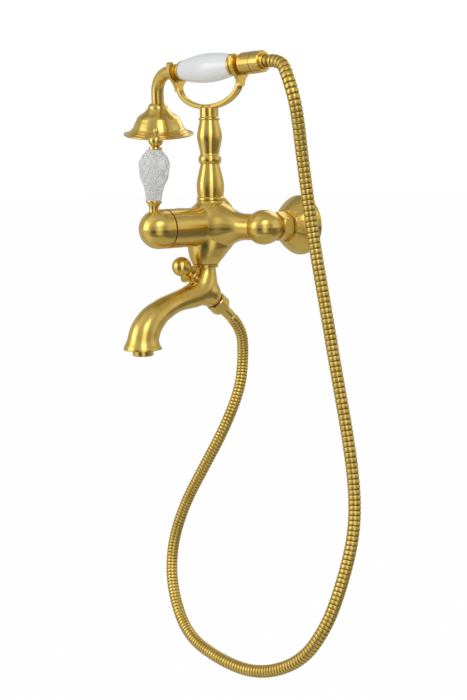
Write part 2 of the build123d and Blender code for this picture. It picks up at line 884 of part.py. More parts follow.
bell_origin = handset_plane.from_local_coords(Vector(bell_top[0], bell_top[1], 0))
bell_way = handset_plane.from_local_coords(
    Vector(bell_top[0] - math.sin(tilt), bell_top[1] - math.cos(tilt), 0)
)
bell_plane = Plane(origin=bell_origin, x_dir=handset_plane.z_dir, z_dir=bell_way - bell_origin)

with BuildPart() as shower_bell:
    turned(
        bell_plane,
        (handset_bore_r + 1, 0.1),
        (goose_r + 0.9, 0.1),
        [(bell_r * 0.26, 2.2), (bell_r * 0.285, 5.4)],
        (bell_r * 0.3, 6.2),
        [
            (bell_r * 0.372, 9.8),
            (bell_r * 0.441, 12.3),
            (bell_r * 0.53, 14.8),
            (bell_r * 0.588, 17.3),
            (bell_r * 0.617, 19.8),
        ],
        [(bell_r * 0.675, 24.7), (bell_r * 0.73, 30.2)],
        (bell_r * 0.755, 31.9),
        (bell_r * 0.785, 32.3),
        [(bell_r * 0.797, 32.9), (bell_r * 0.79, 33.6)],
        (bell_r * 0.824, 35.0),
        (bell_r * 0.852, 35.3),
        [(bell_r * 0.865, 36.0), (bell_r * 0.86, 36.7)],
        [(bell_r * 0.93, bell_depth - 1.9), (bell_r - 0.8, bell_depth - 2.9)],
        [(bell_r + 0.3, bell_depth - 2.1), (bell_r - 0.3, bell_depth - 0.6)],
        (bell_r - bell_wall, bell_depth),
        [
            (bell_r * 0.944 - bell_wall, bell_depth - 1.4),
            (plate_r + 0.2, plate_back - 0.2),
            (bell_r * 0.73 - bell_wall + 0.2, 31.2),
        ],
        [(bell_r * 0.675 - bell_wall, 25.4), (bell_r * 0.617 - bell_wall, 20.4)],
        [
            (bell_r * 0.588 - bell_wall, 18.2),
            (bell_r * 0.53 - bell_wall, 16.1),
            (bell_r * 0.441 - bell_wall, 13.8),
            (bell_r * 0.372 - bell_wall, 11.6),
        ],
        (handset_bore_r + 1, 7.4),
    )
    for spoke in range(3):
        spoke_plane = Plane(
            origin=bell_plane.origin,
            x_dir=Vector(bell_plane.x_dir).rotate(Axis((0, 0, 0), bell_plane.z_dir), 120 * spoke),
            z_dir=bell_plane.z_dir,
        )
        with BuildSketch(spoke_plane.offset(20.8)):
            with Locations((bell_r * 0.31, 0)):
                Rectangle(bell_r * 0.62 - bell_wall + 1, 2.2)
        extrude(amount=4)
    rod(bell_plane, 4.6, 18.8, plate_back)
    rod(bell_plane, 2.0, 22, plate_back, Mode.SUBTRACT)
finish(shower_bell, "shower_bell")

with BuildPart() as spray_plate:
    turned(
        bell_plane,
        (2.0 + fit, plate_back),
        (plate_r - 0.6, plate_back),
        (plate_r, plate_back + 0.8),
        (plate_r, plate_back + plate_thickness),
        (2.0 + fit, plate_back + plate_thickness),
    )
    with BuildSketch(bell_plane.offset(plate_back)):
        for ring in range(1, 5):
            with PolarLocations(ring * 6.6 + 2.5, ring * 8):
                Circle(0.7)
    extrude(amount=plate_thickness, mode=Mode.SUBTRACT)
finish(spray_plate, "spray_plate")

with BuildPart() as spray_seal:
    tube(bell_plane, plate_r - 2.6, plate_r - 4.6, plate_back - 0.9, plate_back)
finish(spray_seal, "spray_seal")

with BuildPart() as spray_screw:
    rod(bell_plane, 2.0 - fit, 23, plate_back + plate_thickness)
    rod(bell_plane, 4.2, plate_back + plate_thickness, plate_back + plate_thickness + 1.6)
    fillet(spray_screw.faces().sort_by(Axis(bell_plane.origin, bell_plane.z_dir))[-1].edges(), 0.8)
finish(spray_screw, "spray_screw")

# Spout with its ring, seal and aerator
seal_z = outlet_bottom - spout_seal
ring_bottom = seal_z - spout_ring_height

with BuildPart() as spout_seal_ring:
    tube(outlet_plane, outlet_r - 1.8, outlet_bore_r + fit, seal_z, outlet_bottom)
finish(spout_seal_ring, "spout_seal")

with BuildPart() as spout_ring:
    turned(
        outlet_plane,
        (spigot_r + fit, seal_z),
        (spout_ring_r - 0.5, seal_z),
        (spout_ring_r, seal_z - 0.5),
        (spout_ring_r, seal_z - 1.6),
        (spout_ring_r - 0.8, seal_z - 1.9),
        (spout_ring_r - 0.8, seal_z - 2.3),
        (spout_ring_r, seal_z - 2.6),
        (spout_ring_r, ring_bottom + 0.5),
        (spout_ring_r - 0.5, ring_bottom),
        (spigot_r + fit, ring_bottom),
    )
finish(spout_ring, "spout_ring")

spout_line = (
    (outlet_reach, ring_bottom, 12.5),
    (89.0, -60.0, 14.2),
    (94.0, -72.5, 16.2),
    (104.5, -80.6, 15.8),
    (118.5, -84.3, 13.8),
    (133.5, -87.2, 12.4),
    (146.5, -90.8, 12.9),
    (157.9, -95.1, 13.9),
    (167.6, -100.2, 15.2),
    (175.9, -106.4, 16.4),
    (182.3, -113.8, 17.4),
    (186.5, -122.0, 18.1),
    (188.2, -129.5, 19.2),
    (lip_reach - 0.2, lip_z + 2.0, 22.2),
    (lip_reach, lip_z, 22.7),
)
heel_blend = 16.0
heel_curve = [
    (outlet_boss_r + 1.8, 3.2),
    (14.8, 7.4),
    (16.4, 12.5),
    (16.8, 17.5),
    (15.6, 23.5),
    (10.8, 28.6),
    (0, 30.5),
]


def spout_plane(index):
    """The plane of one ring of the spout, square to the line through its neighbours."""
    reach, height, radius = spout_line[index]
    if index in (0, len(spout_line) - 1):
        way = (0, 0, -1)
    else:
        before = spout_line[index - 1]
        after = spout_line[index + 1]
        way = (0, before[0] - after[0], after[1] - before[1])
    return Plane(origin=(0, -reach, height), x_dir=(1, 0, 0), z_dir=way)


channel_rings = len(spout_line) - 4
aerator_seat = lip_z + aerator_thread_length + 1.1

with BuildPart() as spout:
    for index, (reach, height, radius) in enumerate(spout_line):
        with BuildSketch(spout_plane(index)):
            Circle(radius)
    loft()
    turned(
        valve_plane,
        (0, 0),
        (outlet_boss_r, 0),
        heel_curve,
    )
    creases = spout.edges(Select.LAST).filter_by(GeomType.CIRCLE, reverse=True)
    fillet(creases.sort_by(SortBy.LENGTH)[-1], radius=heel_blend)
    rod(outlet_plane, spigot_r, ring_bottom - 1, ring_bottom + spigot_length)
    rod(valve_plane, outlet_boss_r, 0, valve_seat + 8)
    rod(valve_plane, thread_r, -thread_length - 1.6, 1)
    rod(valve_plane, bonnet_r + 1.2, chamber_top, bonnet_seat - 0.4)
    for index in range(channel_rings):
        with BuildSketch(spout_plane(index)):
            Circle(min(spout_line[index][2] - spout_wall, channel_limit_r))
    loft(mode=Mode.SUBTRACT)
    rod(outlet_plane, spigot_bore_r, ring_bottom - 2, ring_bottom + spigot_length, Mode.SUBTRACT)
    rod(valve_plane, chamber_r, valve_seat, chamber_top, Mode.SUBTRACT)
    rod(valve_plane, chamber_r - 2.2, -thread_length - 1.6, valve_seat, Mode.SUBTRACT)
    rod(valve_plane, bonnet_thread_r + fit, chamber_top, bonnet_seat, Mode.SUBTRACT)
    rod(valve_plane, bonnet_r + 1.2, bonnet_seat - 0.4, knob_base, Mode.SUBTRACT)
    rod(lip_plane, aerator_thread_r - 1.4, aerator_seat - 2, aerator_seat + 8, Mode.SUBTRACT)
    rod(lip_plane, aerator_thread_r + fit, lip_z - 1, aerator_seat, Mode.SUBTRACT)
finish(spout, "spout")

aerator_top = aerator_seat - 1.1
aerator_bottom = lip_z - aerator_drop

with BuildPart() as aerator_washer:
    tube(lip_plane, aerator_thread_r, aerator_thread_r - 2.4, aerator_top, aerator_seat)
finish(aerator_washer, "aerator_washer")

with BuildPart() as aerator_housing:
    turned(
        lip_plane,
        (aerator_bore_r + 0.7, aerator_top),
        (aerator_thread_r, aerator_top),
        (aerator_thread_r, lip_z - 0.1),
        (aerator_r, lip_z - 0.1),
        (aerator_r, aerator_bottom + 0.6),
        (aerator_r - 0.6, aerator_bottom),
        (aerator_bore_r, aerator_bottom),
        (aerator_bore_r, aerator_bottom + 1.4),
        (aerator_bore_r + 0.7, aerator_bottom + 1.4),
    )
finish(aerator_housing, "aerator_housing")

with BuildPart() as aerator_insert:
    rod(lip_plane, aerator_bore_r + 0.6, aerator_bottom + 1.5, aerator_top)
    with BuildSketch(lip_plane.offset(aerator_bottom + 1.5)):
        Circle(1.1)
        with PolarLocations(3.6, 6):
            Circle(1.2)
        with PolarLocations(7.0, 12):
            Circle(1.2)
    extrude(amount=aerator_top - aerator_bottom - 1.5, mode=Mode.SUBTRACT)
finish(aerator_insert, "aerator_insert")

# Diverter
with BuildPart() as diverter_bonnet:
    turned(
        valve_plane,
        (stem_r + 0.2, chamber_top + 1),
        (bonnet_thread_r, chamber_top + 1),
        (bonnet_thread_r, bonnet_seat),
        (bonnet_r + 0.9, bonnet_seat),
        (bonnet_r + 0.9, bonnet_seat + 2.4),
        (bonnet_r, bonnet_seat + 3.2),
        (bonnet_r, bonnet_top - 0.6),
        (bonnet_r - 0.6, bonnet_top),
        (stem_r + 0.2, bonnet_top),
    )
    rod(valve_plane, stem_r + 1.7, chamber_top + 1, chamber_top + 3.6, Mode.SUBTRACT)
finish(diverter_bonnet, "diverter_bonnet")

with BuildPart() as diverter_seals:
    tube(valve_plane, bonnet_r + 0.6, bonnet_thread_r + 0.1, bonnet_seat - 0.4, bonnet_seat)
    tube(valve_plane, stem_r + 1.6, stem_r + 0.2, chamber_top + 1.6, chamber_top + 3.6)
finish(diverter_seals, "diverter_seals")

with BuildPart() as diverter_knob:
    knob_neck_r = 5.4
    ball_start = knob_ball_h - math.sqrt(knob_ball_r**2 - knob_neck_r**2)
    turned(
        valve_plane,
        (0, knob_ball_h - 2),
        (stem_r + fit, knob_ball_h - 2),
        (stem_r + fit, knob_base),
        (knob_disc_r - 0.5, knob_base),
        (knob_disc_r, knob_base + 0.5),
        (knob_disc_r, knob_base + 1.3),
        (knob_disc_r - 0.6, knob_base + 1.9),
        (knob_neck_r + 0.7, knob_base + 2.1),
        (knob_neck_r - 0.3, knob_base + 3.0),
        (knob_neck_r + 0.9, ball_start - 1.6),
        (knob_neck_r + 0.9, ball_start - 0.6),
        (knob_neck_r, ball_start),
        [(knob_ball_r, knob_ball_h), (0, knob_ball_h + knob_ball_r)],
    )
finish(diverter_knob, "diverter_knob")

valve_back = valve_seat + running
valve_front = valve_back + 4
with BuildPart() as diverter_stem:
    rod(valve_plane, stem_r, valve_back + 0.4, knob_ball_h - 2.2)
finish(diverter_stem, "diverter_stem")

with BuildPart() as diverter_valve:
    tube(valve_plane, chamber_r - 0.5, stem_r + fit / 2, valve_back, valve_front)
    rod(valve_plane, stem_r + fit, valve_back, valve_back + 0.3)
finish(diverter_valve, "diverter_valve")

# Hose fittings at the spout
nut_top = -hose_washer
nut_end = nut_top - lower_nut_length
collet_top = -thread_length - 1.6 - hose_washer
collet_flange = collet_top - 1.1
collet_end = nut_end - lower_collet_length

with BuildPart() as hose_washers_lower:
    tube(valve_plane, outlet_boss_r + 0.2, thread_r + fit, nut_top, 0)
    tube(valve_plane, thread_r - 0.3, hose_bore_r + 0.5, collet_top, collet_top + hose_washer)
finish(hose_washers_lower, "hose_washers_lower")

with BuildPart() as hose_nut_lower:
    hexagon(valve_plane, lower_nut_flats, nut_end, nut_top)
    round_corners(valve_plane, lower_nut_corner_r, lower_nut_flats, nut_end, nut_top)
    rod(valve_plane, thread_r + fit, collet_flange - 0.2, nut_top, Mode.SUBTRACT)
    rod(valve_plane, lower_collet_r + fit, nut_end, collet_flange, Mode.SUBTRACT)
finish(hose_nut_lower, "hose_nut_lower")

with BuildPart() as hose_collet_lower:
    turned(
        valve_plane,
        (hose_bore_r, collet_top),
        (thread_r - 0.2, collet_top),
        (thread_r - 0.2, collet_flange),
        (lower_collet_r, collet_flange),
        (lower_collet_r, collet_end),
        (hose_bore_r, collet_end),
    )
finish(hose_collet_lower, "hose_collet_lower")

# Hose fittings at the handset
upper_nut_start = tail_end_x + seam_ring
upper_nut_end = upper_nut_start + hose_nut_length
upper_flange = tail_thread_end + hose_washer
upper_stop = upper_nut_end - hose_nut_end
hose_start_x = collet_end_x - 3.2

with BuildPart() as handset_seam_ring:
    tube(grip_plane, handset_tail_r - 0.2, thread_r + fit, tail_end_x, upper_nut_start)
finish(handset_seam_ring, "handset_seam_ring")

with BuildPart() as hose_nut_upper:
    turned(
        grip_plane,
        (thread_r + fit, upper_nut_start),
        (hose_nut_r, upper_nut_start),
        (hose_nut_r - 0.5, upper_nut_end - 0.8),
        (hose_nut_r - 1.3, upper_nut_end),
        (collet_r + fit, upper_nut_end),
        (collet_r + fit, upper_stop),
        (thread_r + fit, upper_stop),
    )
finish(hose_nut_upper, "hose_nut_upper")

with BuildPart() as hose_washer_upper:
    tube(grip_plane, thread_r - 0.3, hose_bore_r + 0.5, tail_thread_end, upper_flange)
finish(hose_washer_upper, "hose_washer_upper")

with BuildPart() as hose_collet_upper:
    turned(
        grip_plane,
        (hose_bore_r, upper_flange),
        (thread_r - 0.3, upper_flange),
        (thread_r - 0.3, upper_stop),
        (collet_r, upper_stop),
        (collet_r, collet_end_x - 0.4),
        (collet_r - 0.4, collet_end_x),
        (hose_r + 0.15, collet_end_x),
        (hose_r + 0.15, hose_start_x),
        (hose_bore_r, hose_start_x),
    )
finish(hose_collet_upper, "hose_collet_upper")

# Ribbed hose, from the handset round to the spout
hose_end = valve_plane.from_local_coords(Vector(0, 0, collet_end))
hose_leave = valve_plane.from_local_coords(Vector(0, 0, collet_end - 27.4))
hose_route = [
    (hose_start_x, -column_reach, handset_z),
    (120.6, -column_reach, handset_z),
    (138, -86, 168),
    (149, -84, 136),
    (141, -66, 80),
    (147, -56, -4),
    (162, -51, -87),
    (177, -48, -165),
    (195, -49, -234),
    (210, -53, -299),
    (220, -67, -345),
    (222, -88, -392),
    (218, -110, -440),
    (192, -125, -487),
    (133, -135, -519),
    (68, -138, -522),
    (-3, -130, -515),
    (-50, -114, -469),
    (-67, -97, -420),
    (-55, -85, -366),
    (-29, -73, -313),
    (-5, -59, -262),
    (3, -36, -210),
    (-9, -18, -172),
    tuple(hose_leave),
    tuple(hose_end),
]


def corner_radii(route):
    """The largest arc at each corner that its two runs allow."""
    radii = []
    for before, corner, after in zip(route, route[1:], route[2:]):
        run_in = Vector(*corner) - Vector(*before)
        run_out = Vector(*after) - Vector(*corner)
        turn = math.radians(run_in.get_angle(run_out))
        radii.append(0.45 * min(run_in.length, run_out.length) / math.tan(turn / 2))
    return radii


radii = corner_radii(hose_route)
print("hose corner radii", [round(radius, 1) for radius in radii])
with BuildLine() as hose_path:
    FilletPolyline(*hose_route, radius=radii)
hose_wire = hose_path.wires()[0]
hose_length = hose_wire.length
print("hose length", round(hose_length, 1))


def hose_plane(distance):
    """The plane across the hose at a distance along it, its X axis kept level with the wall's."""
    share = distance / hose_length
    way = hose_wire.tangent_at(share)
    return Plane(origin=hose_wire.position_at(share), x_dir=Vector(0, 1, 0).cross(way), z_dir=way)


straight = 2 * hose_r
pitch = (hose_length - 2 * straight) / hose_ribs
rib_steps = ((0.0, hose_root_r), (0.16, hose_r), (0.8, hose_r), (0.96, hose_root_r))

with BuildPart() as shower_hose:
    with BuildSketch(hose_plane(0)):
        Circle(hose_r)
    with BuildSketch(hose_plane(straight - 1)):
        Circle(hose_r)
    for rib in range(hose_ribs):
        for step, radius in rib_steps:
            with BuildSketch(hose_plane(straight + (rib + step) * pitch)):
                Circle(radius)
    with BuildSketch(hose_plane(hose_length - straight + 1)):
        Circle(hose_r)
    with BuildSketch(hose_plane(hose_length)):
        Circle(hose_r)
    loft(ruled=True)
    with BuildSketch(hose_plane(0)):
        Circle(hose_bore_r)
    sweep(path=hose_wire, mode=Mode.SUBTRACT)
print("hose volume", round(shower_hose.part.volume))
plain_section = math.pi * (hose_r**2 - hose_bore_r**2)
print("plain tube volume", round(plain_section * hose_length))
finish(shower_hose, "shower_hose")
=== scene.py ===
"""Bath mixer with a hand shower: its crystal lever, ribbed hose, finishes, lights and camera."""

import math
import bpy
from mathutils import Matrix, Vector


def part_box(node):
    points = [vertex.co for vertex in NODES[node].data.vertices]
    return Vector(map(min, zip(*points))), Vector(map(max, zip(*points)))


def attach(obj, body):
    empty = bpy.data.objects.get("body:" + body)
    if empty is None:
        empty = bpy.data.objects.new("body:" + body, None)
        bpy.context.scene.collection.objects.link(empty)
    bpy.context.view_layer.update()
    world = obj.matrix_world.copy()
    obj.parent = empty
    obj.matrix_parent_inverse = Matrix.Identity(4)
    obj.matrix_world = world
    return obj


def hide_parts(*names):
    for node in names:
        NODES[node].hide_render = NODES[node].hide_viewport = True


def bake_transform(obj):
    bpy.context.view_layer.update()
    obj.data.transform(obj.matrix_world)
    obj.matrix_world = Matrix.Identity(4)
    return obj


bl_info = {
    "name": "Bath mixer",
    "version": (1, 0, 0),
    "blender": (4, 5, 0),
    "location": "3D View > Sidebar > Bath mixer",
    "description": "Cuts the crystal lever, lays the ribbed hose and finishes the bath mixer",
    "category": "Object",
}

import bmesh
import bpy
from bpy.props import FloatProperty, FloatVectorProperty, IntProperty, PointerProperty
from mathutils import Matrix, Vector

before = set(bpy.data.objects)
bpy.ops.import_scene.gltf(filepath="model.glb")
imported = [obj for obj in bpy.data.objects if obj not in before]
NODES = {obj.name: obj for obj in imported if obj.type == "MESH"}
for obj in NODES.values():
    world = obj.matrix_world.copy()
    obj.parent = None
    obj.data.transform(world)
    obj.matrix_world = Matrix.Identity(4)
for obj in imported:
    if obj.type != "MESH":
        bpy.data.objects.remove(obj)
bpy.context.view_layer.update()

# Places shared with the CAD model, in metres
INLET_X = 0.075
COLUMN_Y = -0.0783
HANDSET_Z = 0.1875
LEVER_FOOT = Vector((0.0, -0.169, 0.0))
LEVER_LEAN = math.radians(4.0)
VALVE_FOOT = Vector((0.0, -0.075, -0.0908))
VALVE_SLOPE = math.radians(40.7)
BELL_TILT = 0.14

# The hose's length, and its route from the handset round to the spout, in metres
HOSE_ROUTE = (
    (0.0942, -0.0783, 0.1875),
    (0.1206, -0.0783, 0.1875),
    (0.1380, -0.0860, 0.1680),
    (0.1490, -0.0840, 0.1360),
    (0.1410, -0.0660, 0.0800),
    (0.1470, -0.0560, -0.0040),
    (0.1620, -0.0510, -0.0870),
    (0.1770, -0.0480, -0.1650),
    (0.1950, -0.0490, -0.2340),
    (0.2100, -0.0530, -0.2990),
    (0.2200, -0.0670, -0.3450),
    (0.2220, -0.0880, -0.3920),
    (0.2180, -0.1100, -0.4400),
    (0.1920, -0.1250, -0.4870),
    (0.1330, -0.1350, -0.5190),
    (0.0680, -0.1380, -0.5220),
    (-0.0030, -0.1300, -0.5150),
    (-0.0500, -0.1140, -0.4690),
    (-0.0670, -0.0970, -0.4200),
    (-0.0550, -0.0850, -0.3660),
    (-0.0290, -0.0730, -0.3130),
    (-0.0050, -0.0590, -0.2620),
    (0.0030, -0.0360, -0.2100),
    (-0.0090, -0.0180, -0.1720),
    (0.0, -0.0285, -0.1308),
    (0.0, -0.0493, -0.1129),
)

# The camera that took the photograph, fitted to it
CAMERA_PLACE = Vector((0.948934, -0.931669, 0.064135))
CAMERA_TURN = math.radians(46.9)
CAMERA_DIP = math.radians(9.7)
CAMERA_ROLL = math.radians(-0.8)
CAMERA_LENS = 53.37


# Shader expressions
class Value:
    """A node's output. Python's operators on it add Math nodes."""

    def __init__(self, nodes, socket):
        self.nodes = nodes
        self.socket = socket

    def maths(self, operation, *others, swap=False):
        terms = [self, *others]
        if swap:
            terms.reverse()
        return self.nodes.add("ShaderNodeMath", {"operation": operation}, dict(enumerate(terms)))

    def __add__(self, other):
        return self.maths("ADD", other)

    __radd__ = __add__

    def __mul__(self, other):
        return self.maths("MULTIPLY", other)

    __rmul__ = __mul__

    def __sub__(self, other):
        return self.maths("SUBTRACT", other)

    def __rsub__(self, other):
        return self.maths("SUBTRACT", other, swap=True)

    def __pow__(self, other):
        return self.maths("POWER", other)

    def smooth(self, low, high):
        """0 below low, 1 above high, and a soft step between."""
        return self.nodes.add(
            "ShaderNodeMapRange",
            {"interpolation_type": "SMOOTHSTEP"},
            {"Value": self, "From Min": low, "From Max": high},
        )


class Nodes:
    """The nodes of one material or of the world."""

    def __init__(self, owner):
        owner.use_nodes = True
        self.tree = owner.node_tree
        self.tree.nodes.clear()

    def add(self, kind, settings=None, inputs=None, out=0):
        """A node of one kind with its settings, and the numbers or links of its sockets."""
        node = self.tree.nodes.new(kind)
        for name, value in (settings or {}).items():
            setattr(node, name, value)
        for name, value in (inputs or {}).items():
            if isinstance(value, Value):
                self.tree.links.new(value.socket, node.inputs[name])
            else:
                node.inputs[name].default_value = value
        return Value(self, node.outputs[out]) if node.outputs else None

    def mix(self, factor, first, second):
        """One colour or the other."""
        return self.add(
            "ShaderNodeMix", {"data_type": "RGBA"}, {0: factor, 6: first, 7: second}, out=2
        )

    def noise(self, vector, scale, detail=2.0):
        return self.add(
            "ShaderNodeTexNoise", {}, {"Vector": vector, "Scale": scale, "Detail": detail}
        )

    def bump(self, height, strength, distance):
        return self.add(
            "ShaderNodeBump", {}, {"Height": height, "Strength": strength, "Distance": distance}
        )

    def shader(self, **inputs):
        """The surface shader. A socket's name has its spaces as underscores."""
        named = {name.replace("_", " "): value for name, value in inputs.items()}
        surface = self.add("ShaderNodeBsdfPrincipled", {}, named)
        self.add("ShaderNodeOutputMaterial", {}, {"Surface": surface})


def rgba(colour):
    return (colour[0], colour[1], colour[2], 1.0)


def new_material(name):
    material = bpy.data.materials.new(name)
    return material, Nodes(material)


def object_place(nodes, foot=(0, 0, 0), way=(0, 0, 1)):
    """Object coordinates turned so that Z runs along a piece's own axis."""
    place = nodes.add("ShaderNodeTexCoord", out=3)
    turn = Vector(way).to_track_quat("Z", "Y").to_euler()
    return nodes.add(
        "ShaderNodeMapping",
        {"vector_type": "TEXTURE"},
        {"Vector": place, "Location": Vector(foot), "Rotation": Vector(turn)},
    )


def around_axis(nodes, place, lengthwise=0.02):
    """A vector that changes fast across the lathe's lines and slowly along them."""
    x = nodes.add("ShaderNodeSeparateXYZ", {}, {0: place})
    y = Value(nodes, x.socket.node.outputs[1])
    z = Value(nodes, x.socket.node.outputs[2])
    radius = (x * x + y * y) ** 0.5
    turn = x.maths("ARCTAN2", y).maths("SINE")
    return nodes.add("ShaderNodeCombineXYZ", {}, {0: radius, 1: z, 2: turn * lengthwise})


def dress(material, *names):
    """Gives CAD nodes their finish."""
    for name in names:
        mesh = NODES[name].data
        mesh.materials.clear()
        mesh.materials.append(material)


# Sizes and colours
class BrassLook(bpy.types.PropertyGroup):
    """The satin gold brass."""

    colour: FloatVectorProperty(
        name="Brass", description="Colour of the satin brass", subtype="COLOR",
        default=(0.81, 0.585, 0.155), min=0, max=1,
    )
    shade: FloatVectorProperty(
        name="Aged brass", description="Colour where the brass has darkened", subtype="COLOR",
        default=(0.60, 0.41, 0.065), min=0, max=1,
    )
    roughness: FloatProperty(
        name="Satin", description="Roughness of the brushed surface", default=0.24, min=0, max=1
    )
    cast: FloatProperty(
        name="Cast", description="Roughness of the cast pieces, which have no brushed lines",
        default=0.28, min=0, max=1,
    )


class HoseSizes(bpy.types.PropertyGroup):
    """The ribbed hose."""

    radius: FloatProperty(
        name="Radius", description="Radius over the ribs", default=0.00725, unit="LENGTH"
    )
    groove: FloatProperty(
        name="Groove", description="Depth between two ribs", default=0.0009, unit="LENGTH"
    )
    stretched: FloatProperty(
        name="Long pitch", description="Rib spacing at the handset, where the hose hangs",
        default=0.0062, unit="LENGTH",
    )
    closed: FloatProperty(
        name="Short pitch", description="Rib spacing at the spout, where the hose is pushed up",
        default=0.0043, unit="LENGTH",
    )
    sides: IntProperty(name="Sides", description="Faces round the hose", default=20, min=8)


class CrystalSizes(bpy.types.PropertyGroup):
    """The cut crystal lever."""

    cuts: IntProperty(name="Cuts", description="Diamonds round the crystal", default=8, min=5)
    groove: FloatProperty(
        name="Groove", description="Half width of the cuts between diamonds",
        default=0.0008, unit="LENGTH",
    )
    depth: FloatProperty(
        name="Depth", description="Depth of the cuts between diamonds",
        default=0.0009, unit="LENGTH",
    )


class StageLook(bpy.types.PropertyGroup):
    """The studio."""

    floor: FloatVectorProperty(
        name="Floor", description="Colour of the pale floor", subtype="COLOR",
        default=(0.9, 0.9, 0.89), min=0, max=1,
    )
    level: FloatProperty(
        name="Level", description="Strength of the even studio light", default=0.75, min=0
    )


GROUPS = {
    "mixer_brass": BrassLook,
    "mixer_hose": HoseSizes,
    "mixer_crystal": CrystalSizes,
    "mixer_stage": StageLook,
}


# Finishes
def satin_brass(context, name, foot=(0, 0, 0), way=(0, 0, 1), turned=True, spin="Z"):
    """Brass with the fine lines of brushing, round its own axis where the piece was turned."""
    look = context.scene.mixer_brass
    material, nodes = new_material(name)
    place = object_place(nodes, foot, way)
    lines = around_axis(nodes, place) if turned else place
    grain = nodes.noise(lines, 5200.0 if turned else 2600.0, 3.0)
    cloud = nodes.noise(place, 55.0, 3.0)
    speck = nodes.noise(place, 900.0, 2.0)
    age = cloud.smooth(0.38, 0.72) * 0.3 + speck.smooth(0.62, 0.8) * 0.12
    colour = nodes.mix(age, rgba(look.colour), rgba(look.shade))
    satin = look.roughness if turned else look.cast
    rough = satin + grain * 0.08 - 0.04
    brushed = {}
    if turned:
        round_axis = nodes.add("ShaderNodeTangent", {"direction_type": "RADIAL", "axis": spin})
        brushed = {"Anisotropic": 0.8, "Anisotropic_Rotation": 0.25, "Tangent": round_axis}
    nodes.shader(
        Base_Color=colour, Metallic=1.0, Roughness=rough,
        Normal=nodes.bump(grain, 0.07, 0.00004), **brushed
    )
    return material


class MIXER_OT_brass(bpy.types.Operator):
    """Finish the brass pieces in satin gold, brushed round their own axes"""

    bl_idname = "mixer.brass"
    bl_label = "Brass pieces"

    def execute(self, context):
        y_way = (0, 1, 0)
        valve_way = (0, -math.cos(VALVE_SLOPE), math.sin(VALVE_SLOPE))
        lever_way = (0, math.sin(LEVER_LEAN), math.cos(LEVER_LEAN))
        bell_way = (-math.sin(BELL_TILT), 0, math.cos(BELL_TILT))
        dress(
            satin_brass(context, "brass_column", (0, COLUMN_Y, 0)), "column_lower", "column_upper"
        )
        dress(
            satin_brass(context, "brass_body", (0, 0, 0), y_way, spin="Y"),
            "valve_body", "dome_handle",
        )
        for side, x in (("left", -INLET_X), ("right", INLET_X)):
            material = satin_brass(context, "brass_inlet_" + side, (x, 0, 0), y_way, spin="Y")
            dress(material, "wall_rosette_" + side, "union_nut_" + side)
        dress(
            satin_brass(context, "brass_handset", (0, COLUMN_Y, HANDSET_Z), (1, 0, 0), spin="X"),
            "handset_tail", "hose_nut_upper", "hose_collet_upper", "handset_tube",
        )
        dress(
            satin_brass(context, "brass_valve", VALVE_FOOT, valve_way),
            "diverter_bonnet", "diverter_knob", "hose_nut_lower", "hose_collet_lower",
        )
        dress(
            satin_brass(context, "brass_lever", LEVER_FOOT, lever_way), "lever_cup", "lever_finial"
        )
        low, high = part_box("shower_bell")
        dress(
            satin_brass(context, "brass_bell", (low + high) / 2, bell_way),
            "shower_bell", "spray_screw",
        )
        dress(
            satin_brass(context, "brass_spout", turned=False),
            "spout", "spout_ring", "aerator_housing", "cradle", "gooseneck",
        )
        return {"FINISHED"}


def porcelain():
    """White glaze with a faint ripple."""
    material, nodes = new_material("porcelain")
    place = object_place(nodes)
    cloud = nodes.noise(place, 60.0, 2.0)
    ripple = nodes.noise(place, 150.0, 2.0)
    nodes.shader(
        Base_Color=nodes.mix(cloud, (0.86, 0.87, 0.88, 1), (0.80, 0.815, 0.83, 1)),
        Roughness=0.12 + ripple * 0.05,
        Coat_Weight=0.6, Coat_Roughness=0.04, IOR=1.52,
        Subsurface_Weight=0.08, Subsurface_Radius=(0.003, 0.003, 0.003),
        Normal=nodes.bump(ripple, 0.05, 0.0004),
    )
    return material


def black_rubber():
    """Dusty black rubber."""
    material, nodes = new_material("black_rubber")
    dust = nodes.noise(object_place(nodes), 700.0, 4.0)
    nodes.shader(
        Base_Color=nodes.mix(dust, (0.018, 0.017, 0.016, 1), (0.05, 0.048, 0.045, 1)),
        Roughness=0.62 + dust * 0.2, Normal=nodes.bump(dust, 0.25, 0.0002),
    )
    return material


def white_plastic():
    """Moulded white plastic with a fine grain."""
    material, nodes = new_material("white_plastic")
    grain = nodes.noise(object_place(nodes), 1600.0, 3.0)
    nodes.shader(
        Base_Color=nodes.mix(grain, (0.80, 0.80, 0.77, 1), (0.72, 0.72, 0.69, 1)),
        Roughness=0.42 + grain * 0.12, Normal=nodes.bump(grain, 0.15, 0.0001),
    )
    return material


def lapped_ceramic():
    """Flecked ceramic, lapped smooth."""
    material, nodes = new_material("lapped_ceramic")
    fleck = nodes.noise(object_place(nodes), 2400.0, 2.0)
    pale, dull = (0.86, 0.84, 0.79, 1), (0.72, 0.70, 0.65, 1)
    nodes.shader(
        Base_Color=nodes.mix(fleck.smooth(0.4, 0.7), pale, dull), Roughness=0.22 + fleck * 0.1
    )
    return material


def worked_metal(name, grain, light, dark, rough, spread, detail=3.0):
    """Metal as its tool left it, between two colours."""
    material, nodes = new_material(name)
    tool = nodes.noise(object_place(nodes), grain, detail)
    nodes.shader(
        Base_Color=nodes.mix(tool, light, dark), Metallic=1.0, Roughness=rough + tool * spread
    )
    return material


def machined_brass():
    """Bare brass with the marks of its turning tool."""
    material, nodes = new_material("machined_brass")
    tool = nodes.noise(object_place(nodes), 1500.0, 3.0)
    nodes.shader(
        Base_Color=nodes.mix(tool, (0.72, 0.55, 0.28, 1), (0.60, 0.43, 0.19, 1)),
        Metallic=1.0, Roughness=0.3 + tool * 0.15, Normal=nodes.bump(tool, 0.1, 0.0001),
    )
    return material


